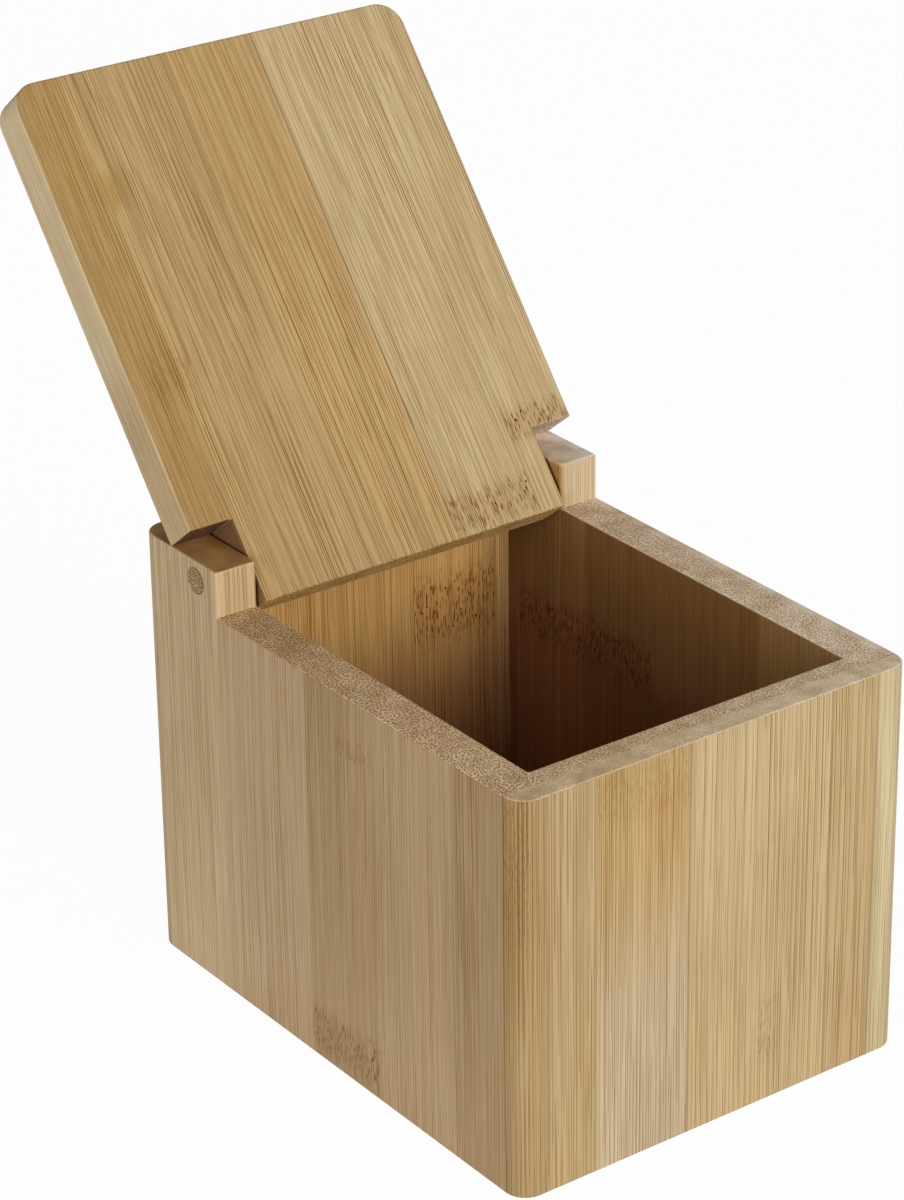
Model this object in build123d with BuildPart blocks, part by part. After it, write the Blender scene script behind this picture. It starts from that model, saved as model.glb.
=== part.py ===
from build123d import *

import os
from math import asin, atan2, degrees, hypot, sqrt

# A small salt box of plain-pressed bamboo boards. The front and back boards lap the ends of the
# side boards, a base panel sits in a ledge milled round the walls, and each side board carries
# an ear that stands above the rim. The lid's tongue swings between the ears on two wooden pins.
#
# Millimetres and degrees. +X is to the right of someone facing the front, +Y is to the back and
# +Z is up. The origin is the middle of the underside. The lid is modelled open, on its stop.

# Outside of the box
box_width = 100.0          # left to right
box_depth = 132.0          # front to back
box_height = 100.0         # underside to the tops of the ears and the back board
upright_radius = 5.0       # rounding of the four upright corners
edge_ease = 0.5            # sanded rounding of the long edges

# Boards
wall_board = 10.0          # thickness of the front, back and side boards
lid_board = 10.0           # thickness of the lid
base_board = 6.0           # thickness of the base panel
corner_lap = 5.0           # part of the front and back boards that covers the side boards' ends
base_ledge = 4.0           # how far the base panel reaches into each wall

# Lid outline
lid_overhang = 0.5         # closed lid past the front face
lid_corner_radius = 6.0    # rounding of the two free corners

# Hinge
ear_length = 29.0          # ears, measured from the back face
pin_from_back = 21.2       # pin axis to the back face
pin_from_top = 4.5         # pin axis to the ear tops
pin_diameter = 5.5
pin_in_tongue = 14.5       # length of pin inside the lid
pin_tip_bevel = 0.5        # bevel that lets the pin's inner end find its bore

# Clearances
lid_seat_gap = 0.3         # closed lid above the rim
tongue_side_gap = 0.5      # tongue to each ear
tongue_swing_gap = 0.2     # tongue's end corner to the back board as it swings past
shoulder_swing_gap = 0.2   # lid's shoulders to the ears' front edge as they swing past
stop_gap = 0.05            # lid's shoulders to the ear tops, fully open
pin_glue_gap = 0.02        # round the pin in the ear
pin_running_gap = 0.05     # round the pin in the lid
pin_tip_gap = 0.5          # past the pin's inner end

# Places worked out from the sizes
side_face = box_width / 2
back_face = box_depth / 2
inner_width = box_width - 2 * wall_board
inner_depth = box_depth - 2 * wall_board
base_width = inner_width + 2 * base_ledge
base_depth = inner_depth + 2 * base_ledge
side_board_length = box_depth - 2 * corner_lap
rim_height = box_height - lid_board - lid_seat_gap
ear_front = back_face - ear_length
pin_y = back_face - pin_from_back
pin_z = box_height - pin_from_top
pin_radius = pin_diameter / 2
tongue_width = inner_width - 2 * tongue_side_gap
pin_length = wall_board + tongue_side_gap + pin_in_tongue

# The closed lid's top is level with the ears, so its pin axis lies pin_from_top below its outer
# face. The tongue ends where its lower corner just swings past the back board, and the shoulders
# stand off where they just swing past the ears' upper front edge.
lid_below_pin = lid_board - pin_from_top
tongue_reach = sqrt((pin_from_back - wall_board - tongue_swing_gap) ** 2 - lid_below_pin**2)
shoulder_reach = hypot(pin_y - ear_front, pin_from_top) + shoulder_swing_gap
free_edge_reach = pin_y + back_face + lid_overhang

# The lid opens until the eased outer edge of its shoulders lies on the ear tops.
stop_across = shoulder_reach + edge_ease
stop_above = pin_from_top - edge_ease
stop_rise = asin((pin_from_top + edge_ease + stop_gap) / hypot(stop_across, stop_above))
open_angle = 180 - degrees(stop_rise + atan2(stop_above, stop_across))

# Pin axis with Z out of the lid's outer face and Y from the free edge towards the tongue
open_lid_plane = Plane((0, pin_y, pin_z)).rotated((-open_angle, 0, 0))


with BuildSketch() as box_plan:
    RectangleRounded(box_width, box_depth, upright_radius)

with BuildSketch() as base_plan:
    Rectangle(base_width, base_depth)


def end_board(label, facing, height):
    """Front (facing -1) or back (facing 1) board: an outer lap over a narrower inner half."""
    with BuildPart() as board:
        with BuildSketch():
            with Locations((0, facing * (back_face - corner_lap / 2))):
                Rectangle(box_width, corner_lap)
            with Locations((0, facing * (back_face - (corner_lap + wall_board) / 2))):
                Rectangle(inner_width, wall_board - corner_lap)
        extrude(amount=height)
        extrude(box_plan.sketch, amount=box_height, mode=Mode.INTERSECT)
        extrude(base_plan.sketch, amount=base_board, mode=Mode.SUBTRACT)
        outer = board.faces().filter_by(Axis.Y).sort_by(Axis.Y, reverse=facing > 0)[0]
        inner = board.faces().filter_by(Axis.Y).sort_by(Axis.Y, reverse=facing < 0)[0]
        inner_rim = inner.edges().filter_by(Axis.X).sort_by(Axis.Z)[-1]
        fillet(outer.edges().filter_by(Axis.X) + [inner_rim], edge_ease)
    board.part.label = label
    return board


def side_board(label, side):
    """Left (side -1) or right (side 1) board, with the ear that carries the lid's pin."""
    with BuildPart() as board:
        with BuildSketch(Plane.YZ.offset(side * (side_face - wall_board / 2))):
            with Locations((0, rim_height / 2)):
                Rectangle(side_board_length, rim_height)
            with Locations((back_face - (ear_length + corner_lap) / 2, box_height / 2)):
                Rectangle(ear_length - corner_lap, box_height)
        extrude(amount=wall_board / 2, both=True)
        extrude(box_plan.sketch, amount=box_height, mode=Mode.INTERSECT)
        extrude(base_plan.sketch, amount=base_board, mode=Mode.SUBTRACT)
        outer = board.faces().filter_by(Axis.X).sort_by(Axis.X, reverse=side > 0)[0]
        inner = board.faces().filter_by(Axis.X).sort_by(Axis.X, reverse=side < 0)[0]
        ear_front_face = board.faces().filter_by(Axis.Y).sort_by(Axis.Z)[-1]
        inner_tops = inner.edges().filter_by(Axis.Y).sort_by(Axis.Z)[1:]
        ear_top_front = ear_front_face.edges().filter_by(Axis.X).sort_by(Axis.Z)[-1]
        eased = outer.edges().filter_by(Axis.Y) + inner_tops + ear_front_face.edges().filter_by(Axis.Z)
        fillet(eased + [ear_top_front], edge_ease)
        # The easing stops at the opening: inside the joints the boards' tops meet square
        joint_middle = back_face - (corner_lap + wall_board) / 2
        eased_middle = side * (side_face - wall_board + edge_ease / 2)
        for joint_y, joint_top in ((-joint_middle, rim_height), (joint_middle, box_height)):
            with Locations((eased_middle, joint_y, joint_top - edge_ease / 2)):
                Box(edge_ease, wall_board - corner_lap, edge_ease)
        with Locations(Plane((side * side_face, pin_y, pin_z), z_dir=(side, 0, 0))):
            Hole(pin_radius + pin_glue_gap, depth=wall_board)
    board.part.label = label
    return board


def hinge_pin(label, side):
    """Left (side -1) or right (side 1) pin, flush with the outside of its ear."""
    with BuildPart() as pin:
        with BuildSketch(Plane((side * side_face, pin_y, pin_z), z_dir=(side, 0, 0))):
            Circle(pin_radius)
        extrude(amount=-pin_length)
        tip = pin.faces().filter_by(Axis.X).sort_by(Axis.X, reverse=side < 0)[0]
        chamfer(tip.edges(), pin_tip_bevel)
    pin.part.label = label
    return pin


front_wall = end_board("front_wall", -1, rim_height)
back_wall = end_board("back_wall", 1, box_height)
left_wall = side_board("left_wall", -1)
right_wall = side_board("right_wall", 1)
left_hinge_pin = hinge_pin("left_hinge_pin", -1)
right_hinge_pin = hinge_pin("right_hinge_pin", 1)

with BuildPart() as base_panel:
    extrude(base_plan.sketch, amount=base_board)
base_panel.part.label = "base_panel"

with BuildPart() as lid:
    with BuildSketch(open_lid_plane.offset(-lid_below_pin)) as lid_outline:
        with Locations((0, -(free_edge_reach + shoulder_reach) / 2)):
            Rectangle(box_width, free_edge_reach - shoulder_reach)
        fillet(lid_outline.vertices().group_by(Axis.Y)[0], lid_corner_radius)
        with Locations((0, (tongue_reach - shoulder_reach) / 2)):
            Rectangle(tongue_width, tongue_reach + shoulder_reach)
    extrude(amount=lid_board)
    broad_faces = lid.faces().filter_by(open_lid_plane)
    fillet(broad_faces.edges(), edge_ease)
    for side in (-1, 1):
        with Locations(Plane((side * tongue_width / 2, pin_y, pin_z), z_dir=(side, 0, 0))):
            Hole(pin_radius + pin_running_gap, depth=pin_in_tongue + pin_tip_gap)
lid.part.label = "lid"

os.makedirs("parts", exist_ok=True)
walls = [front_wall, back_wall, left_wall, right_wall]
for piece in walls + [base_panel, left_hinge_pin, right_hinge_pin, lid]:
    export_step(piece.part, f"parts/{piece.part.label}.step")
print(f"pin axis y {pin_y:.3f} z {pin_z:.3f}, rim {rim_height:.2f}, lid opens {open_angle:.3f} degrees")
print(f"shoulder reach {shoulder_reach:.3f}, tongue reach {tongue_reach:.3f}")
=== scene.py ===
from math import radians

import bmesh
import bpy
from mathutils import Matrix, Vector

# A small salt box of plain-pressed bamboo: four upright-grain walls, a base panel, and a flat lid
# on two wooden pins. The boards keep their solid shapes. This script gives them their wood.
#
# Lengths inside the wood are in millimetres, in the board's own directions: X across the strips,
# Y through the board and Z along the grain.

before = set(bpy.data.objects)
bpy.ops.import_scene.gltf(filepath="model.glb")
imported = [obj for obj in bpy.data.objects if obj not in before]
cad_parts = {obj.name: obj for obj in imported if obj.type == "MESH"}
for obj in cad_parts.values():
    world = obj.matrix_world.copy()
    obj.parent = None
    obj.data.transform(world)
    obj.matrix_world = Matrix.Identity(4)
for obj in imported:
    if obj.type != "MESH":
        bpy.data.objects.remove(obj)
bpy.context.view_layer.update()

MILLIMETRE = 0.001

# Places in the box that the wood follows, in millimetres
PIN_Y, PIN_Z = 44.8, 95.5         # hinge axis
PIN_RADIUS = 2.75
RIM_TOP = 89.7
EAR_TOP = 100.0
LAP_LINE = 61.0                   # where the end boards cover the side boards' ends
INNER_SIDE = 40.0                 # inner face of the side boards
INNER_END = 56.0                  # inner face of the end boards
NEAR_INNER = (0.6, 0.3)           # past an inner face: off it from here, still on it up to here
LID_OPEN = 128.844                # degrees from closed to the stop
TONGUE_HALF = 41.0                # half the width of the lid's tongue, with a little to spare
SHOULDER_LINE = -19.0             # along the lid from the hinge axis, 10 mm past its shoulders
MID_LID = -50.0                   # the same way, near the middle of the lid
TONE_CHANGE = 35.0                # a board's tones change from here on its left to here on its right
FOOT_TOP = 60.0                   # where a foot's tint has faded out

# Colours of the strips, linear
GOLDEN = (0.450, 0.290, 0.112)
DARK_AMBER = (0.358, 0.218, 0.073)
LIGHT_AMBER = (0.425, 0.275, 0.108)
DEEP_GOLDEN = (0.372, 0.240, 0.094)
STRAW = (0.490, 0.345, 0.160)
PALE = (0.500, 0.370, 0.190)
BLOND = (0.535, 0.407, 0.215)
TAN = (0.445, 0.300, 0.138)
HONEY = (0.445, 0.300, 0.130)
OLIVE = (0.366, 0.235, 0.093)
DUN = (0.420, 0.278, 0.118)
WHEAT = (0.445, 0.290, 0.116)

# Stains on a strip
PINKISH = (0.560, 0.440, 0.280)
REDDISH = (0.500, 0.310, 0.130)
DARK_GOLDEN = (0.370, 0.235, 0.088)
PALE_STAIN = (0.640, 0.470, 0.260)
# Paler along the lid's left edge
PALE_LEFT_EDGE = (0.618, 0.460, 0.258)
STAINED = (0.450, 0.280, 0.088)

# End grain, and the faces near the hinge
END_GRAIN = (0.480, 0.280, 0.110)
RIM_GRAIN = (0.700, 0.479, 0.266)
LEFT_RIM_GRAIN = (0.718, 0.487, 0.268)
# Painted reflection: the left rim darker towards its ear, where it mirrors the lid
LID_REFLECTION_RIM_GRAIN = (0.520, 0.335, 0.155)
# Painted sheen of the white sky: the front rim paler at its right end, and the right rim paler
SHEENED_RIM_GRAIN = (0.785, 0.590, 0.368)
SHEENED_RIGHT_RIM_GRAIN = (0.885, 0.690, 0.460)
SHEENED_BACK_RIM_GRAIN = (0.730, 0.541, 0.350)
# Ear tops with painted shade on the left, and painted light and sheen on the right
SHADED_EAR_TOP = (0.366, 0.190, 0.054)
LIT_EAR_TOP = (0.880, 0.748, 0.592)
EAR_SIDE = (0.430, 0.230, 0.058)
TONGUE_GRAIN = (0.660, 0.400, 0.130)
# Painted shade on the sides of the lid's tongue, in the gaps by the ears
SHADED_TONGUE_SIDE = (0.200, 0.105, 0.040)
# Painted shade on the lid's left shoulder, and painted light on its right one
SHADED_SHOULDER = (0.112, 0.047, 0.013)
LIT_SHOULDER = (0.540, 0.420, 0.310)
PIN_GRAIN = (0.331, 0.211, 0.095)

# Lines, joints, a painted shadow, and painted highlights on eased edges
FIBRE_BROWN = (0.150, 0.072, 0.020)
# Dark joint lines, and the painted shadow round a pin
JOINT_AND_SHADOW_BROWN = (0.100, 0.045, 0.014)
NODE_HOLE = (0.080, 0.036, 0.010)
# Painted highlight on an eased edge
ARRIS_HIGHLIGHT = (0.800, 0.620, 0.460)

# Tones that multiply the wood under them
PLAIN = (1.0, 1.0, 1.0)
FAINT_LINE_TONE = (0.72, 0.64, 0.51)
DARK_LINE_TONE = (0.42, 0.28, 0.08)
# Painted highlight beside a dark line
LINE_HIGHLIGHT_TONE = (1.38, 1.44, 1.58)
NODE_STAIN = (0.860, 0.720, 0.500)
NODE_DASH = (0.350, 0.200, 0.080)
SMOOTH_RIM = (1.14, 1.20, 1.28)
# Painted shade on an ear's top next to the lid
SHADED_INNER_EAR = (0.860, 0.750, 0.560)
# Inner faces darker and more amber: partly the inner wood's own tone, partly painted shade
INSIDE_TONE_AND_SHADE = (1.0, 0.84, 0.70)

# Tones that change with a pattern: (the pattern's value, tone)
CLOUD_TONES = ((0.3, (0.945, 0.93, 0.905)), (0.7, (1.035, 1.035, 1.035)))
HUE_TONES = ((0.35, (1.01, 0.992, 0.975)), (0.5, PLAIN), (0.65, (1.0, 1.006, 1.0)))
STREAK_TONES = ((0.30, (0.94, 0.925, 0.90)), (0.70, (1.035, 1.04, 1.05)))
END_PATCH_TONES = ((0.3, (0.84, 0.78, 0.71)), (0.5, PLAIN), (0.7, (1.15, 1.18, 1.24)))
PORE_TONES = ((0.12, (0.26, 0.18, 0.11)), (0.30, (0.84, 0.79, 0.72)), (0.46, (1.30, 1.37, 1.46)))

# How strongly a seam's line shows across the strips
NO_LINE, FULL_LINE = (0.0, 0.0, 0.0), (1.0, 1.0, 1.0)

# Lines along the grain: how many to a millimetre, half the width of one, how much of it shows
FAINT_LINES = (2.0, 0.11, 0.6)
HAIR_LINES = (1.6, 0.095, 0.5)
BUNDLE_LINES = (0.75, 0.10, 0.6)
BUNDLE_LONGER = 2.5               # times as long as the others
COLUMN_APART, START_APART = 7.31, 90.0
HAIR_ASIDE = (17.3, 3.1, 0.0)     # keeps the hair lines off the faint ones
BOARD_APART = (37.0, 19.0, 211.0)
CROWD_STEP = (0.36, 0.62)         # the crowd pattern's value, from thin to thick
THIN_CROWD = 0.55                 # how strongly the lines show where they don't crowd
# Dashes at a node: how many to a millimetre across the grain, half the width of one, and how many
# to a millimetre along it
SMALL_DASHES = (1.9, 0.16, 0.27)
LARGE_DASHES = (1.2, 0.20, 0.34)
PORES_TO_A_MILLIMETRE = 1.6

# Softer patterns: how many to a millimetre, across the grain and along it
CLOUDS = (0.05, 0.018)
STREAKS = (0.40, 0.012)
HUES = (0.13, 0.020)
CROWDS = (0.11, 0.009)
END_PATCHES = (0.22, 0.02)
NODE_HOLES = (0.55, 0.42)
RAGS = (0.9, 0.06)                # at the ends of a stain or a node
SEAM_STRAYS = (0.02, 0.012)
DRIFTS = (0.03, 0.007)            # of the fibres, over the board
SWERVES = (0.35, 0.12)            # of the fibres, at a node
LAYER_RAGS, LAP_BREAKS = 0.12, 0.3  # these two are alike all ways

# Lengths in the patterns, in millimetres
RAMP_FROM, RAMP_TO = -70.0, 70.0  # a board's strips lie between these
SEAM_HALF = 0.224                 # half the width of a glue seam's line
SEAM_STRAY = 1.2                  # the stretch that a seam strays over
DRIFT = 1.2                       # how far the fibres drift each way
SWERVE = 0.7                      # how far they swerve at a node
BAND_RAG = 9.0                    # how ragged the end of a stain or a node is
LAYER_RAG = 3.0                   # how ragged the smooth layer of a rim is
LAP_HALF = 0.16                   # half the width of a joint's line
ARRIS_HIGHLIGHT_HALF = 0.3                  # half the height of the painted highlight along an eased inner edge
RING_HALF = 0.45                  # half the width of the painted shadow round a pin
BUMP_DEPTH = 0.05

# How deep these lie, as shares of that. A faint line's is a share of a dark line's.
LINE_DEPTH, FAINT_DEPTH, DASH_DEPTH = 0.6, 0.3, 0.8

# How strongly these show
LINE_HIGHLIGHT_SHARE = 0.45                 # the painted highlight beside a dark line
NODE_SHARE = 0.60
DASH_SHARE = 1.5
SEAM_SHARE, END_SEAM_SHARE = 0.45, 0.10
FEW_PORES = 0.35
LEFT_LAP_SHARE, RIGHT_LAP_SHARE = 0.15, 0.75
# Painted highlights on the eased edges
ARRIS_HIGHLIGHT_SHARE = 0.6
EASED_HIGHLIGHT_SHARE = 0.2
# The painted shadow round a pin
RING_SHARE = 0.95
BACK_RING_SHARE = 0.45            # of that, at the pin's back

# How dull the wood is: bare, in a dark line, and more at a pore of the end grain
ROUGH, LINE_ROUGH, PORE_ROUGHER = 0.72, 0.82, 0.12
SHEEN, DULL_SHEEN = 0.5, 0.05
WOOD_IOR = 1.52
BUMP_STRENGTH = 0.3


# ---- Writing patterns -------------------------------------------------------------------------

def feed(tree, socket, value):
    """Gives a socket a fixed value or another node's output."""
    if isinstance(value, bpy.types.NodeSocket):
        tree.links.new(value, socket)
    elif socket.type == "RGBA" and len(value) == 3:
        socket.default_value = (*value, 1.0)
    else:
        socket.default_value = value


def maths(tree, operation, *terms, clamp=False):
    """One step of arithmetic."""
    step = tree.nodes.new("ShaderNodeMath")
    step.operation = operation
    step.use_clamp = clamp
    for socket, term in zip(step.inputs, terms):
        feed(tree, socket, term)
    return step.outputs[0]


def product(tree, first, *others):
    """All the values multiplied."""
    for other in others:
        first = maths(tree, "MULTIPLY", first, other)
    return first


def vector_maths(tree, operation, *terms):
    """One step of arithmetic on vectors."""
    step = tree.nodes.new("ShaderNodeVectorMath")
    step.operation = operation
    for socket, term in zip(step.inputs, terms):
        feed(tree, socket, term)
    return step.outputs[0]


def scaled(tree, vector, factor):
    """A vector times a number."""
    step = tree.nodes.new("ShaderNodeVectorMath")
    step.operation = "SCALE"
    feed(tree, step.inputs[0], vector)
    feed(tree, step.inputs["Scale"], factor)
    return step.outputs[0]


def soft_step(tree, value, low, high):
    """0 below low, 1 above high, smooth between. With low above high it falls instead."""
    step = tree.nodes.new("ShaderNodeMapRange")
    step.interpolation_type = "SMOOTHSTEP"
    feed(tree, step.inputs["Value"], value)
    feed(tree, step.inputs["From Min"], low)
    feed(tree, step.inputs["From Max"], high)
    return step.outputs[0]


def spread(tree, value, low, high):
    """A 0 to 1 value stretched to low to high."""
    return maths(tree, "MULTIPLY_ADD", value, high - low, low)


def close_to(tree, value, place, half_width):
    """1 where value is within half_width of place."""
    away = maths(tree, "ABSOLUTE", maths(tree, "SUBTRACT", value, place))
    return soft_step(tree, away, half_width, half_width * 0.4)


def blend(tree, factor, under, over, mode="MIX"):
    """One colour laid over another, as strongly as factor says."""
    step = tree.nodes.new("ShaderNodeMix")
    step.data_type = "RGBA"
    step.blend_type = mode
    feed(tree, step.inputs[0], factor)
    feed(tree, step.inputs[6], under)
    feed(tree, step.inputs[7], over)
    return step.outputs[2]


def toned(tree, colour, tone):
    """A colour multiplied by a tone."""
    return blend(tree, 1.0, colour, tone, "MULTIPLY")


def noise(tree, vector, detail=2.0, roughness=0.5):
    """A noise's value, at one cloud to a unit."""
    cloud = tree.nodes.new("ShaderNodeTexNoise")
    feed(tree, cloud.inputs["Vector"], vector)
    cloud.inputs["Scale"].default_value = 1.0
    cloud.inputs["Detail"].default_value = detail
    cloud.inputs["Roughness"].default_value = roughness
    return cloud.outputs[0]


def ragged(tree, value, vector, reach, detail=2.0):
    """A value that strays by half of reach each way, with the noise at vector."""
    stray = maths(tree, "SUBTRACT", noise(tree, vector, detail), 0.5)
    return maths(tree, "MULTIPLY_ADD", stray, reach, value)


def cells(tree, vector, dimensions="3D", randomness=1.0):
    """Voronoi cells, one to a unit.

    Returns the distance to the nearest cell's point, and that cell's random colour."""
    cell = tree.nodes.new("ShaderNodeTexVoronoi")
    cell.voronoi_dimensions = dimensions
    feed(tree, cell.inputs["Vector"], vector)
    cell.inputs["Scale"].default_value = 1.0
    cell.inputs["Randomness"].default_value = randomness
    return cell.outputs["Distance"], cell.outputs["Color"]


def join(tree, x, y, z):
    """A vector of three values."""
    parts = tree.nodes.new("ShaderNodeCombineXYZ")
    for socket, value in zip(parts.inputs, (x, y, z)):
        feed(tree, socket, value)
    return parts.outputs[0]


def split(tree, vector):
    """The three values of a vector, or the red, green and blue of a colour."""
    parts = tree.nodes.new("ShaderNodeSeparateXYZ")
    feed(tree, parts.inputs[0], vector)
    return parts.outputs


def ramp(tree, value, stops):
    """A colour for each value. stops: (value, colour), rising."""
    band = tree.nodes.new("ShaderNodeValToRGB")
    elements = band.color_ramp.elements
    elements.remove(elements[1])
    elements[0].position, elements[0].color = stops[0][0], (*stops[0][1], 1.0)
    for place, colour in stops[1:]:
        elements.new(place).color = (*colour, 1.0)
    feed(tree, band.inputs[0], value)
    return band.outputs[0]


def new_group(name, given, made):
    """An empty node group with its sockets. Returns the tree and its inputs and outputs."""
    tree = bpy.data.node_groups.new(name, "ShaderNodeTree")
    for socket, kind in given:
        tree.interface.new_socket(socket, in_out="INPUT", socket_type="NodeSocket" + kind)
    for socket, kind in made:
        tree.interface.new_socket(socket, in_out="OUTPUT", socket_type="NodeSocket" + kind)
    return tree, tree.nodes.new("NodeGroupInput").outputs, tree.nodes.new("NodeGroupOutput").inputs


def use_group(tree, group, **values):
    """Places a group. Keyword names are its sockets' names with _ for each space."""
    placed = tree.nodes.new("ShaderNodeGroup")
    placed.node_tree = group
    for name, value in values.items():
        feed(tree, placed.inputs[name.replace("_", " ")], value)
    return placed.outputs


# ---- The grain --------------------------------------------------------------------------------

def streaked(tree, vector, across, along):
    """A vector scaled for a pattern that is drawn out along the grain."""
    return vector_maths(tree, "MULTIPLY", vector, (across, across, along))


def flat_streaked(tree, flat, across, along):
    """The same for the fibres' own place, which has no Z."""
    return vector_maths(tree, "MULTIPLY", flat, (across, along, 1.0))


def sway(tree, vector, across, along, reach):
    """A sideways shift that changes slowly, by up to reach each way."""
    cloud = noise(tree, streaked(tree, vector, across, along), 1.0)
    return maths(tree, "MULTIPLY", maths(tree, "SUBTRACT", cloud, 0.5), reach * 2)


def fibre_place(tree, board, place, mark):
    """The fibres' own place: X across the grain and round the board's edges, Y along the grain.

    The fibres drift a little over the board, and swerve at a node."""
    x, y, _ = split(tree, board)
    round_edge = maths(tree, "MULTIPLY", maths(tree, "SIGN", x), maths(tree, "ABSOLUTE", y))
    place_x, _, place_z = split(tree, place)
    across = maths(tree, "SUBTRACT", place_x, round_edge)
    across = maths(tree, "ADD", across, sway(tree, place, *DRIFTS, DRIFT))
    swerve = maths(tree, "MULTIPLY", sway(tree, place, *SWERVES, SWERVE), mark)
    return join(tree, maths(tree, "ADD", across, swerve), place_z, 0.0)


def dashes(tree, flat, kind):
    """Short tapering strokes along the grain, scattered, each of its own strength.

    kind is one of the dashes above, and flat the fibres' own place."""
    closeness, half_width, along = kind
    gap, cell = cells(tree, flat_streaked(tree, flat, closeness, along), "2D")
    half = half_width * closeness
    stroke = soft_step(tree, gap, half * 1.3, half * 0.5)
    return maths(tree, "MULTIPLY", stroke, split(tree, cell)[0])


def threads(tree, flat, kind, along):
    """Thin lines along the grain, evenly spread. Each comes and goes, along times in a millimetre.

    kind is one of the lines above, and flat the fibres' own place. Returns the lines, and the painted
    highlight beside each."""
    closeness, half_width, share = kind
    across, up, _ = split(tree, flat)
    count = maths(tree, "MULTIPLY", across, closeness)
    column = maths(tree, "FLOOR", count)
    luck = tree.nodes.new("ShaderNodeTexWhiteNoise")
    luck.noise_dimensions = "1D"
    feed(tree, luck.inputs["W"], column)
    middle, strength, start = split(tree, luck.outputs["Color"])

    # Each column has its own stretch of noise, which says where its line is there
    up = maths(tree, "MULTIPLY_ADD", start, START_APART, maths(tree, "MULTIPLY", up, along))
    coming = join(tree, maths(tree, "MULTIPLY", column, COLUMN_APART), up, 0.0)
    coming = noise(tree, coming, 1.0)
    there = soft_step(tree, coming, 0.56 - 0.2 * share, 0.62 - 0.2 * share)
    there = maths(tree, "MULTIPLY", there, spread(tree, strength, 0.5, 1.0))

    gap = maths(tree, "SUBTRACT", maths(tree, "FRACT", count), spread(tree, middle, 0.2, 0.8))
    half = half_width * closeness
    line = soft_step(tree, maths(tree, "ABSOLUTE", gap), half * 1.8, half * 0.3)
    beside = maths(tree, "ABSOLUTE", maths(tree, "ADD", gap, half * 2.0))
    beside = soft_step(tree, beside, half * 1.8, half * 0.3)
    return maths(tree, "MULTIPLY", line, there), maths(tree, "MULTIPLY", beside, there)


def fibre_lines(tree, flat, length, contrast):
    """The faint lines, the dark ones, which crowd here and there, and a painted highlight
    beside those.
    """
    along = maths(tree, "DIVIDE", 1.0, length)
    faint, _ = threads(tree, flat, FAINT_LINES, along)
    aside = vector_maths(tree, "ADD", flat, HAIR_ASIDE)
    hair, hair_highlight = threads(tree, aside, HAIR_LINES, along)
    longer = maths(tree, "MULTIPLY", along, 1 / BUNDLE_LONGER)
    bundle, bundle_highlight = threads(tree, flat, BUNDLE_LINES, longer)
    crowd = noise(tree, flat_streaked(tree, flat, *CROWDS), 1.0)
    crowd = spread(tree, soft_step(tree, crowd, *CROWD_STEP), THIN_CROWD, 1.0)
    dark = product(tree, maths(tree, "MAXIMUM", hair, bundle), crowd)
    dark = maths(tree, "MULTIPLY", dark, contrast, clamp=True)
    beside = maths(tree, "MAXIMUM", hair_highlight, bundle_highlight)
    return faint, dark, product(tree, beside, crowd, LINE_HIGHLIGHT_SHARE, contrast)


def node_figure(tree, place, flat, mark):
    """Short dashes and small dark holes at a node of the culm."""
    dash = maths(tree, "MAXIMUM", dashes(tree, flat, SMALL_DASHES), dashes(tree, flat, LARGE_DASHES))
    dash = maths(tree, "MULTIPLY", maths(tree, "MULTIPLY", dash, DASH_SHARE), mark, clamp=True)
    gap, _ = cells(tree, streaked(tree, place, *NODE_HOLES))
    return dash, product(tree, soft_step(tree, gap, 0.15, 0.10), soft_step(tree, mark, 0.50, 0.62))


def streak_colour(tree, place, flat, strip):
    """A strip's own colour in soft clouds and streaks."""
    cloud = noise(tree, streaked(tree, place, *CLOUDS))
    hue = noise(tree, flat_streaked(tree, flat, *HUES), 1.0)
    streak = noise(tree, flat_streaked(tree, flat, *STREAKS), 1.0)
    colour = toned(tree, strip, ramp(tree, cloud, CLOUD_TONES))
    colour = toned(tree, colour, ramp(tree, hue, HUE_TONES))
    return toned(tree, colour, ramp(tree, streak, STREAK_TONES))


def end_grain(tree, place, tone, pores):
    """The colour of the end grain, with close small pores over soft patches, and those pores."""
    patch = noise(tree, streaked(tree, place, *END_PATCHES), 1.0)
    colour = toned(tree, tone, ramp(tree, patch, END_PATCH_TONES))
    gap, _ = cells(tree, scaled(tree, place, PORES_TO_A_MILLIMETRE), "2D", 0.75)
    colour = blend(tree, pores, colour, toned(tree, colour, ramp(tree, gap, PORE_TONES)))
    return colour, product(tree, soft_step(tree, gap, 0.32, 0.14), pores)


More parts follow.
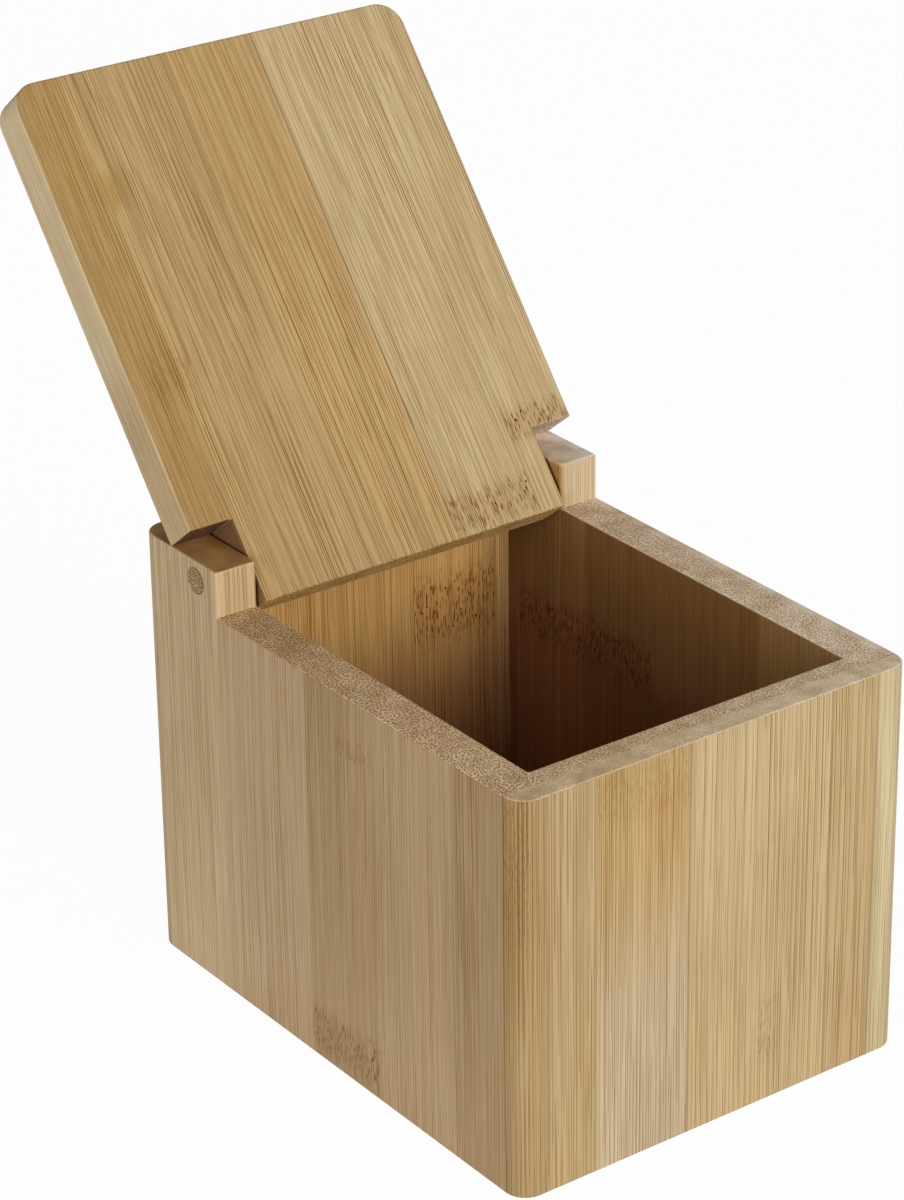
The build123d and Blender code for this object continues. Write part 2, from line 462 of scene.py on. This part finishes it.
def make_grain():
    """Bamboo as a solid: streaks along Z, pores on the end grain, marks at the culm's nodes."""
    given = (("Board", "Vector"), ("Seed", "Float"), ("Strip", "Color"), ("Mark", "Float"),
             ("End", "Float"), ("End tone", "Color"), ("Pores", "Float"), ("Contrast", "Float"),
             ("Length", "Float"))
    made = (("Colour", "Color"), ("Height", "Float"), ("Roughness", "Float"), ("Sheen", "Float"))
    tree, inputs, outputs = new_group("bamboo_grain", given, made)
    mark, end, contrast = inputs["Mark"], inputs["End"], inputs["Contrast"]

    # Each board is cut from another place in the same pattern
    shift = scaled(tree, BOARD_APART, inputs["Seed"])
    place = vector_maths(tree, "ADD", inputs["Board"], shift)
    flat = fibre_place(tree, inputs["Board"], place, mark)
    faint, dark, pale = fibre_lines(tree, flat, inputs["Length"], contrast)
    dash, hole = node_figure(tree, place, flat, mark)

    # Over the streaks come the lines, then what a node shows, and at the ends the end grain
    colour = streak_colour(tree, place, flat, inputs["Strip"])
    # The pale line beside a dark one is a painted highlight
    for shown, tone in ((maths(tree, "MULTIPLY", faint, contrast, clamp=True), FAINT_LINE_TONE),
                        (pale, LINE_HIGHLIGHT_TONE), (dark, DARK_LINE_TONE),
                        (maths(tree, "MULTIPLY", mark, NODE_SHARE), NODE_STAIN), (dash, NODE_DASH)):
        colour = blend(tree, shown, colour, toned(tree, colour, tone))
    colour = blend(tree, hole, colour, NODE_HOLE)
    end_colour, pore = end_grain(tree, place, inputs["End tone"], inputs["Pores"])
    colour = blend(tree, end, colour, end_colour)

    # Lines and dashes lie a little low. They and the pores are duller.
    ridge = maths(tree, "ADD", dark, maths(tree, "MULTIPLY", faint, FAINT_DEPTH))
    ridge = maths(tree, "MULTIPLY", ridge, -LINE_DEPTH)
    ridge = maths(tree, "SUBTRACT", ridge, maths(tree, "MULTIPLY", dash, DASH_DEPTH))
    rougher = product(tree, end, spread(tree, pore, 0.0, PORE_ROUGHER))
    rough = maths(tree, "ADD", spread(tree, dark, ROUGH, LINE_ROUGH), rougher)
    dull = maths(tree, "MAXIMUM", product(tree, pore, end), maths(tree, "MAXIMUM", dark, dash))
    dull = maths(tree, "MAXIMUM", dull, hole)

    feed(tree, outputs["Colour"], colour)
    feed(tree, outputs["Height"], ridge)
    feed(tree, outputs["Roughness"], rough)
    feed(tree, outputs["Sheen"], spread(tree, dull, SHEEN, DULL_SHEEN))
    return tree


def make_band():
    """Where a strip shows a stain or a node of the culm: Strength inside a ragged band, else 0."""
    given = (("Board", "Vector"), ("Left", "Float"), ("Right", "Float"), ("Middle", "Float"),
             ("Half", "Float"), ("Soft", "Float"), ("Strength", "Float"))
    tree, inputs, outputs = new_group("bamboo_band", given, (("Mark", "Float"),))
    x, _, z = split(tree, inputs["Board"])
    z = ragged(tree, z, streaked(tree, inputs["Board"], *RAGS), BAND_RAG)
    soft = inputs["Soft"]
    hard = maths(tree, "MULTIPLY", soft, -1.0)
    from_left = soft_step(tree, maths(tree, "SUBTRACT", x, inputs["Left"]), hard, soft)
    from_right = soft_step(tree, maths(tree, "SUBTRACT", inputs["Right"], x), hard, soft)
    away = maths(tree, "ABSOLUTE", maths(tree, "SUBTRACT", z, inputs["Middle"]))
    near = soft_step(tree, maths(tree, "DIVIDE", away, inputs["Half"]), 1.15, 0.45)
    feed(tree, outputs["Mark"], product(tree, from_left, from_right, near, inputs["Strength"]))
    return tree


GRAIN = make_grain()
BAND = make_band()


# ---- The boards -------------------------------------------------------------------------------

def mapping(tree, vector, turn):
    """A node that turns a place or a direction in the box into one in the board."""
    step = tree.nodes.new("ShaderNodeMapping")
    step.vector_type = "TEXTURE"
    step.inputs["Rotation"].default_value = [radians(angle) for angle in turn]
    tree.links.new(vector, step.inputs["Vector"])
    return step


def lay_board(tree, middle, turn):
    """Lays the pattern in a board: its middle is there, and it is turned by so many degrees.

    Returns the place in the board, the place in the box, and how far a face looks sideways and
    along the grain."""
    where = tree.nodes.new("ShaderNodeTexCoord")
    board = mapping(tree, where.outputs["Object"], turn)
    board.inputs["Location"].default_value = [place * MILLIMETRE for place in middle]
    board.inputs["Scale"].default_value = (MILLIMETRE,) * 3
    facing = mapping(tree, where.outputs["Normal"], turn)
    edge_ward, _, end_ward = split(tree, vector_maths(tree, "ABSOLUTE", facing.outputs[0]))
    box = scaled(tree, where.outputs["Object"], 1 / MILLIMETRE)
    return board.outputs[0], box, edge_ward, end_ward


def glue_strips(tree, board, strips, tint, seam_width):
    """The strips' tones, with a soft change at each seam, and the fine lines of the seams."""
    width = RAMP_TO - RAMP_FROM
    across = ragged(tree, split(tree, board)[0], streaked(tree, board, *SEAM_STRAYS), SEAM_STRAY, 1.0)
    across = maths(tree, "DIVIDE", maths(tree, "SUBTRACT", across, RAMP_FROM), width)
    tinted = [(edge, [tone * part for tone, part in zip(colour, tint)]) for edge, colour in strips]
    soft, half = seam_width / width, SEAM_HALF / width
    tones, seams = [(0.0, tinted[0][1])], [(0.0, NO_LINE)]
    for (edge, colour), (_, following) in zip(tinted, tinted[1:]):
        seam = (edge - RAMP_FROM) / width
        tones += [(seam - soft, colour), (seam + soft, following)]
        seams += [(seam - half, NO_LINE), (seam, FULL_LINE), (seam + half, NO_LINE)]
    return ramp(tree, across, tones), split(tree, ramp(tree, across, seams))[0]


def change_rightward(tree, board, tone, right_tone):
    """A tone that changes to another towards the board's right, if it has another."""
    if not right_tone:
        return tone
    x, _, _ = split(tree, board)
    return blend(tree, soft_step(tree, x, -TONE_CHANGE, TONE_CHANGE), tone, right_tone)


def mark_nodes(tree, board, culm_nodes):
    """How strongly the board's culm nodes show."""
    mark = 0.0
    for left, right, middle, half, strength in culm_nodes:
        band = use_group(tree, BAND, Board=board, Left=left, Right=right, Middle=middle, Half=half,
                         Soft=0.4, Strength=strength)
        mark = maths(tree, "MAXIMUM", mark, band["Mark"])
    return mark


def stain_strips(tree, board, strip, stains):
    """The strips with their stains."""
    for left, right, middle, half, soft, colour in stains:
        band = use_group(tree, BAND, Board=board, Left=left, Right=right, Middle=middle, Half=half,
                         Soft=soft, Strength=1.0)
        strip = blend(tree, band["Mark"], strip, colour)
    return strip


def past_inner(tree, box):
    """How far a place lies past the side boards' inner faces, and past all four inner faces."""
    x, y, _ = split(tree, box)
    past_side = maths(tree, "SUBTRACT", maths(tree, "ABSOLUTE", x), INNER_SIDE)
    past_end = maths(tree, "SUBTRACT", maths(tree, "ABSOLUTE", y), INNER_END)
    return past_side, maths(tree, "MAXIMUM", past_side, past_end)


def shade_wall(tree, box, strip, end_tone, pores, inside_light_and_shade, low_light_and_shade, shade, ear_tone):
    """A wall's inner face with painted light and shade, and the inner side and the smooth top of its
    ear, the top painted darker next to the lid as in its shade.
    """
    past_side, past_all = past_inner(tree, box)
    _, y, z = split(tree, box)
    # Painted light and shade on the inner face, changing down the wall between shade's two heights
    shaded = blend(tree, soft_step(tree, z, *shade), low_light_and_shade or inside_light_and_shade, inside_light_and_shade)
    strip = blend(tree, soft_step(tree, past_all, *NEAR_INNER), strip, shaded, "MULTIPLY")
    ear_side = product(tree, soft_step(tree, past_side, *NEAR_INNER),
                       soft_step(tree, z, RIM_TOP, RIM_TOP + 1),
                       soft_step(tree, maths(tree, "ABSOLUTE", y), INNER_END, INNER_END - 1))
    strip = blend(tree, ear_side, strip, EAR_SIDE)
    ear_top = soft_step(tree, z, EAR_TOP - 4, EAR_TOP - 2)
    pores = product(tree, maths(tree, "SUBTRACT", 1.0, ear_top), pores)
    # The ear's top is painted darker next to the lid, as in its shade
    ear_in_shade = toned(tree, ear_tone, SHADED_INNER_EAR)
    ear_tone = blend(tree, soft_step(tree, past_side, 1.0, 5.0), ear_in_shade, ear_tone)
    return strip, blend(tree, ear_top, end_tone, ear_tone), pores


def shade_lid(tree, board, box, strip, end_tone, edge_ward, shoulder_tone):
    """The sides of the lid's tongue and its left shoulder, darkened as painted shade, its right
    shoulder, painted lit, and its free end.
    """
    x, _, _ = split(tree, box)
    _, _, z = split(tree, board)
    side = maths(tree, "ABSOLUTE", x)
    # Painted shade on the tongue's sides
    tongue_side_in_shade = product(tree, soft_step(tree, edge_ward, 0.2, 0.6),
                          soft_step(tree, side, TONGUE_HALF + 1, TONGUE_HALF))
    strip = blend(tree, tongue_side_in_shade, strip, SHADED_TONGUE_SIDE)
    end_tone = blend(tree, soft_step(tree, z, MID_LID - 10, MID_LID), RIM_GRAIN, end_tone)
    shoulder = product(tree, soft_step(tree, side, INNER_SIDE - 0.3, INNER_SIDE),
                       soft_step(tree, z, SHOULDER_LINE - 1, SHOULDER_LINE))
    # The left shoulder painted as in shade, the right one as lit
    shoulder_tone = blend(tree, soft_step(tree, x, -1.0, 1.0), shoulder_tone, LIT_SHOULDER)
    return strip, blend(tree, shoulder, end_tone, shoulder_tone)


def smooth_layer(tree, board, end_tone, pores, smooth_from):
    """Makes the end grain below a board Y paler, with few pores."""
    y = ragged(tree, split(tree, board)[1], scaled(tree, board, LAYER_RAGS), LAYER_RAG)
    layer = soft_step(tree, y, smooth_from - 0.5, smooth_from + 0.5)
    pores = product(tree, pores, spread(tree, layer, FEW_PORES, 1.0))
    return blend(tree, layer, toned(tree, end_tone, SMOOTH_RIM), end_tone), pores


def draw_joints(tree, box, colour, end_ward):
    """The broken lines where the end boards lap the sides, and painted highlights on the eased edges.
    """
    _, past_all = past_inner(tree, box)
    x, y, z = split(tree, box)
    broken = noise(tree, scaled(tree, box, LAP_BREAKS), 3.0, 0.7)
    lap = product(tree, close_to(tree, maths(tree, "ABSOLUTE", y), LAP_LINE, LAP_HALF),
                  soft_step(tree, maths(tree, "ABSOLUTE", x), INNER_SIDE - 0.2, INNER_SIDE),
                  soft_step(tree, broken, 0.38, 0.58),
                  spread(tree, soft_step(tree, x, -1.0, 1.0), LEFT_LAP_SHARE, RIGHT_LAP_SHARE))
    # Painted highlights along the rims' eased inner edges and the edges of the ears' tops
    painted_arris = product(tree, soft_step(tree, past_all, 0.40, 0.15),
                    close_to(tree, z, RIM_TOP, ARRIS_HIGHLIGHT_HALF), ARRIS_HIGHLIGHT_SHARE)
    eased = product(tree, soft_step(tree, end_ward, 0.15, 0.45),
                    soft_step(tree, end_ward, 0.97, 0.85),
                    soft_step(tree, z, EAR_TOP - 3, EAR_TOP - 2), EASED_HIGHLIGHT_SHARE)
    colour = blend(tree, lap, colour, JOINT_AND_SHADOW_BROWN)
    colour = blend(tree, painted_arris, colour, ARRIS_HIGHLIGHT)
    return blend(tree, eased, colour, ARRIS_HIGHLIGHT)


def draw_pin_shadow(tree, box, colour):
    """Painted shadow in the gap round a pin: a dark line, fainter towards the back."""
    _, y, z = split(tree, box)
    off_y, off_z = maths(tree, "SUBTRACT", y, PIN_Y), maths(tree, "SUBTRACT", z, PIN_Z)
    off_y, off_z = product(tree, off_y, off_y), product(tree, off_z, off_z)
    radius = maths(tree, "SQRT", maths(tree, "ADD", off_y, off_z))
    front = soft_step(tree, y, PIN_Y + 1.5, PIN_Y - 1.0)
    shadow_ring = product(tree, close_to(tree, radius, PIN_RADIUS, RING_HALF),
                   spread(tree, front, BACK_RING_SHARE, 1.0), RING_SHARE)
    return blend(tree, shadow_ring, colour, JOINT_AND_SHADOW_BROWN)


def bamboo(name, seed, middle, turn, strips, culm_nodes=(), stains=(), tint=PLAIN, edge_tint=PLAIN,
           right_edge_tint=None, foot_tint=None, end_tone=END_GRAIN, right_end_tone=None,
           smooth_from=None, pores=1.0, contrast=1.0, edge_contrast=1.0, length=45.0,
           seam_width=0.56, inside_light_and_shade=None, low_light_and_shade=None, shade=(40.0, 75.0),
           ear_tone=END_GRAIN, shoulder_tone=None, pin_shadow=False):
    """A board's wood. middle is in the box, and other places are in the board, in millimetres.

    strips: (right edge, colour) from left to right across the board.
    culm_nodes: (left, right, middle, half length, strength), each on one strip.
    stains: (left, right, middle, half length, softness, colour).
    tint is for the strips, foot_tint for their lower part, edge_tint for the board's narrow long
    sides, and right_edge_tint for the right one of those.
    end_tone is the end grain's, and changes to right_end_tone at the right. pores is how strongly
    its pores show. Below smooth_from, a board Y, they hardly do.
    contrast is how strongly the lines show, edge_contrast its share on the narrow long sides, and
    length about how long a line runs. seam_width is half of the change from strip to strip.
    inside_light_and_shade is for a wall's inner face, tinted with painted light and shade, and marks
    a wall. Down it, it changes to low_light_and_shade between shade's two heights in the box.
    ear_tone is for the top of a wall's ear, with painted light and sheen on the right wall and
    painted shade on the left.
    shoulder_tone is the painted shade of the lid's left shoulder, whose right one is painted lit, and
    marks the lid. pin_shadow draws the painted shadow round a pin."""
    material = bpy.data.materials.new(name)
    material.use_nodes = True
    tree = material.node_tree
    shader = tree.nodes["Principled BSDF"]
    board, box, edge_ward, end_ward = lay_board(tree, middle, turn)
    end = soft_step(tree, end_ward, 0.55, 0.95)
    edge = soft_step(tree, edge_ward, 0.5, 0.9)

    strip, seam = glue_strips(tree, board, strips, tint, seam_width)
    edge_tint = change_rightward(tree, board, edge_tint, right_edge_tint)
    strip = blend(tree, edge, strip, toned(tree, strip, edge_tint))
    contrast = maths(tree, "MULTIPLY", spread(tree, edge, 1.0, edge_contrast), contrast)
    if foot_tint:
        low = soft_step(tree, split(tree, board)[2], FOOT_TOP, 0.0)
        strip = blend(tree, low, strip, toned(tree, strip, foot_tint))
    strip = stain_strips(tree, board, strip, stains)
    end_tone = change_rightward(tree, board, end_tone, right_end_tone)
    if inside_light_and_shade:
        strip, end_tone, pores = shade_wall(tree, box, strip, end_tone, pores, inside_light_and_shade, low_light_and_shade,
                                            shade, ear_tone)
    if shoulder_tone:
        strip, end_tone = shade_lid(tree, board, box, strip, end_tone, edge_ward, shoulder_tone)
    if smooth_from is not None:
        end_tone, pores = smooth_layer(tree, board, end_tone, pores, smooth_from)

    wood = use_group(tree, GRAIN, Board=board, Seed=seed, Strip=strip, End=end, End_tone=end_tone,
                     Mark=mark_nodes(tree, board, culm_nodes), Pores=pores, Contrast=contrast,
                     Length=length)
    seam = maths(tree, "MULTIPLY", seam, spread(tree, end, SEAM_SHARE, END_SEAM_SHARE))
    colour = blend(tree, seam, wood["Colour"], FIBRE_BROWN)
    if inside_light_and_shade:
        colour = draw_joints(tree, box, colour, end_ward)
    if pin_shadow:
        colour = draw_pin_shadow(tree, box, colour)

    bump = tree.nodes.new("ShaderNodeBump")
    bump.inputs["Strength"].default_value = BUMP_STRENGTH
    bump.inputs["Distance"].default_value = BUMP_DEPTH * MILLIMETRE
    feed(tree, bump.inputs["Height"], wood["Height"])
    feed(tree, shader.inputs["Base Color"], colour)
    feed(tree, shader.inputs["Roughness"], wood["Roughness"])
    feed(tree, shader.inputs["Specular IOR Level"], wood["Sheen"])
    feed(tree, shader.inputs["Normal"], bump.outputs[0])
    shader.inputs["IOR"].default_value = WOOD_IOR
    return material


# The side boards stand a quarter turn round, so that their X is the box's Y
UPRIGHT = (0.0, 0.0, 0.0)
SIDE_TURN = (0.0, 0.0, 90.0)
LID_TURN = (-(LID_OPEN + 90.0), 0.0, 0.0)
LYING = (-90.0, 0.0, 0.0)
PIN_TURN = (0.0, 90.0, 0.0)

WOODS = {
    "front_wall": bamboo(
        "front_board_bamboo", 1.0, (0.0, -61.0, 0.0), UPRIGHT,
        strips=((-43.0, DEEP_GOLDEN), (-31.0, HONEY), (-7.6, GOLDEN), (15.5, STRAW), (29.0, STRAW),
                (41.0, HONEY), (60.0, BLOND)),
        culm_nodes=((-31.0, -7.6, 84.0, 8.0, 0.2), (11.0, 16.0, 18.0, 9.0, 0.25),
                    (-55.0, -47.0, 80.0, 26.0, 0.25)),
        stains=((-31.0, -7.6, 5.0, 56.0, 0.7, PINKISH), (-17.0, -10.0, 74.0, 12.0, 3.0, REDDISH),
                (-55.0, -47.0, 78.0, 40.0, 3.0, DARK_GOLDEN)),
        tint=(1.14, 1.23, 1.385), end_tone=RIM_GRAIN, right_end_tone=SHEENED_RIM_GRAIN, smooth_from=0.3,
        pores=0.75, contrast=0.9, inside_light_and_shade=INSIDE_TONE_AND_SHADE),
    "back_wall": bamboo(
        "back_board_bamboo", 2.0, (0.0, 61.0, 0.0), UPRIGHT,
        strips=((-33.0, STRAW), (-10.0, GOLDEN), (13.6, GOLDEN), (36.0, GOLDEN), (60.0, STRAW)),
        culm_nodes=((13.6, 36.0, 64.0, 10.0, 0.75), (-33.0, -10.0, 22.0, 8.0, 0.7)),
        # Painted light on the upper back wall inside, fading to painted shade lower down
        edge_tint=(1.22, 1.30, 1.64), inside_light_and_shade=(1.40, 1.26, 1.03), low_light_and_shade=(1.03, 0.78, 0.75),
        shade=(34.0, 68.0)),
    "left_wall": bamboo(
        "left_board_bamboo", 3.0, (-45.0, 0.0, 0.0), SIDE_TURN,
        strips=((-45.0, OLIVE), (-18.2, DUN), (5.8, OLIVE), (22.0, TAN), (36.5, TAN), (70.0, STRAW)),
        culm_nodes=((-18.2, 5.8, 7.0, 6.0, 0.6), (-18.2, -5.0, 78.5, 2.5, 0.3)),
        tint=(1.22, 1.30, 1.64), edge_tint=(1.07, 1.06, 0.96), foot_tint=(1.12, 1.14, 1.18),
        end_tone=LEFT_RIM_GRAIN, right_end_tone=LID_REFLECTION_RIM_GRAIN, contrast=0.75,
        inside_light_and_shade=INSIDE_TONE_AND_SHADE, ear_tone=SHADED_EAR_TOP, pin_shadow=True),
    "right_wall": bamboo(
        "right_board_bamboo", 4.0, (45.0, 0.0, 0.0), SIDE_TURN,
        strips=((-43.0, BLOND), (-30.0, STRAW), (-16.0, DARK_AMBER), (5.0, DARK_AMBER),
                (28.0, DARK_AMBER), (36.5, GOLDEN), (39.0, PALE), (70.0, HONEY)),
        culm_nodes=((5.0, 28.0, 62.0, 7.0, 0.75), (28.0, 52.0, 61.0, 7.0, 0.75)),
        edge_tint=(1.40, 1.50, 1.86), end_tone=SHEENED_RIGHT_RIM_GRAIN, right_end_tone=SHEENED_BACK_RIM_GRAIN,
        # Painted shade on the right wall's inner face, strongest near its top
        smooth_from=-2.8, pores=0.75, contrast=0.65, inside_light_and_shade=(0.565, 0.42, 0.265),
        low_light_and_shade=(1.03, 0.77, 1.00), shade=(48.0, 78.0), ear_tone=LIT_EAR_TOP, pin_shadow=True),
    "lid": bamboo(
        "lid_bamboo", 5.0, (0.0, PIN_Y, PIN_Z), LID_TURN,
        strips=((-39.0, DARK_AMBER), (-34.0, LIGHT_AMBER), (-12.0, DUN), (11.0, WHEAT), (33.0, PALE),
                (70.0, PALE)),
        culm_nodes=((11.0, 33.0, 4.5, 5.0, 0.66), (33.0, 52.0, -10.5, 4.5, 0.66),
                    (-46.0, -34.0, -43.0, 5.0, 0.2)),
        stains=((-48.0, -40.0, -92.0, 14.0, 3.0, STAINED), (-40.0, -33.0, -84.0, 5.0, 3.0, STAINED),
                (-47.0, -38.0, -44.0, 9.0, 3.0, STAINED), (14.0, 40.0, -108.0, 3.0, 3.0, PALE_STAIN),
                (-52.0, -49.7, -15.0, 40.0, 0.3, PALE_LEFT_EDGE)),
        tint=(1.25, 1.29, 1.33), edge_tint=(1.66, 2.15, 3.90), right_edge_tint=PLAIN,
        end_tone=TONGUE_GRAIN, contrast=0.95, edge_contrast=0.6, length=26.0, seam_width=1.5,
        shoulder_tone=SHADED_SHOULDER),
    "base_panel": bamboo(
        "base_panel_bamboo", 6.0, (0.0, 0.0, 3.0), LYING,
        strips=((-22.0, GOLDEN), (2.0, TAN), (24.0, GOLDEN), (60.0, TAN)),
        culm_nodes=((-22.0, 2.0, 20.0, 8.0, 0.7),)),
}
for side, seed in (("left", 7.0), ("right", 8.0)):
    WOODS[side + "_hinge_pin"] = bamboo(
        side + "_pin_bamboo", seed, (0.0, PIN_Y, PIN_Z), PIN_TURN,
        strips=((0.0, TAN), (60.0, TAN)), end_tone=PIN_GRAIN)
for node, wood in WOODS.items():
    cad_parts[node].data.materials.clear()
    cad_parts[node].data.materials.append(wood)


# ---- Studio -----------------------------------------------------------------------------------

FLOOR_HALF = 4.0                      # metres
FLOOR_TOP = -0.00005                  # metres, just under the box
FLOOR_GREY = (0.90, 0.90, 0.90, 1.0)
FLOOR_ROUGH = 0.9
FLOOR_GLOW = 0.97                     # how much of it is seen as plain white
SKY_LIGHT = 0.11                      # how bright the backdrop is as a lamp
SKY_SEEN = 1.0                        # and how bright it looks
BOX_MIDDLE = (0.0, 0.0, 0.06)         # metres, where the softboxes point
CAMERA_PLACE = (-0.45440, -0.60028, 0.45401)    # metres
CAMERA_TURN = (64.4035, 0.6986, -36.4320)       # degrees
CAMERA_LENS, CAMERA_FILM = 121.137, 36.0        # millimetres
CAMERA_NEAR = 0.05                              # metres


def seen_directly(tree):
    """1 where a ray comes from the camera, a reflection or through glass."""
    rays = tree.nodes.new("ShaderNodeLightPath")
    seen = maths(tree, "MAXIMUM", rays.outputs["Is Camera Ray"], rays.outputs["Is Glossy Ray"])
    return maths(tree, "MAXIMUM", seen, rays.outputs["Is Transmission Ray"])


def add_floor():
    """A wide pale table top just under the box, which looks white but for a trace of shadow."""
    mesh = bpy.data.meshes.new("table_top")
    shape = bmesh.new()
    bmesh.ops.create_grid(shape, x_segments=1, y_segments=1, size=FLOOR_HALF)
    bmesh.ops.translate(shape, verts=shape.verts, vec=(0.0, 0.0, FLOOR_TOP))
    shape.to_mesh(mesh)
    shape.free()
    floor = bpy.data.objects.new("table_top", mesh)
    bpy.context.scene.collection.objects.link(floor)
    material = bpy.data.materials.new("pale_table")
    material.use_nodes = True
    tree = material.node_tree
    shader = tree.nodes["Principled BSDF"]
    shader.inputs["Base Color"].default_value = FLOOR_GREY
    shader.inputs["Roughness"].default_value = FLOOR_ROUGH
    paper = tree.nodes.new("ShaderNodeEmission")
    paper.inputs["Strength"].default_value = 1.0
    mixed = tree.nodes.new("ShaderNodeMixShader")
    feed(tree, mixed.inputs[0], product(tree, seen_directly(tree), FLOOR_GLOW))
    tree.links.new(shader.outputs[0], mixed.inputs[1])
    tree.links.new(paper.outputs[0], mixed.inputs[2])
    tree.links.new(mixed.outputs[0], tree.nodes["Material Output"].inputs["Surface"])
    mesh.materials.append(material)


def add_softbox(name, place, width, height, power):
    """A white lamp that points at the box. Lengths are in metres."""
    lamp = bpy.data.lights.new(name, "AREA")
    lamp.shape = "RECTANGLE"
    lamp.size, lamp.size_y = width, height
    lamp.energy = power
    softbox = bpy.data.objects.new(name, lamp)
    softbox.location = place
    aim = Vector(BOX_MIDDLE) - Vector(place)
    softbox.rotation_euler = aim.to_track_quat("-Z", "Y").to_euler()
    bpy.context.scene.collection.objects.link(softbox)


def add_sky():
    """A white backdrop that lights the box only faintly."""
    world = bpy.data.worlds.new("studio")
    world.use_nodes = True
    tree = world.node_tree
    backdrop = tree.nodes["Background"]
    backdrop.inputs["Color"].default_value = (1.0, 1.0, 1.0, 1.0)
    feed(tree, backdrop.inputs["Strength"], spread(tree, seen_directly(tree), SKY_LIGHT, SKY_SEEN))
    bpy.context.scene.world = world


def add_camera():
    """Looks down at the open box from the front left."""
    camera = bpy.data.objects.new("camera", bpy.data.cameras.new("camera"))
    camera.location = CAMERA_PLACE
    camera.rotation_euler = [radians(angle) for angle in CAMERA_TURN]
    camera.data.sensor_width = CAMERA_FILM
    camera.data.lens = CAMERA_LENS
    camera.data.clip_start = CAMERA_NEAR
    bpy.context.scene.collection.objects.link(camera)
    bpy.context.scene.camera = camera


add_floor()
add_sky()
add_softbox("key_softbox", (0.12, -2.07, 0.84), 1.0, 0.9, 34.0)
add_softbox("fill_softbox", (-2.0, -0.5, 0.46), 1.4, 0.90, 19.0)
add_camera()
bpy.context.scene.view_settings.view_transform = "Standard"
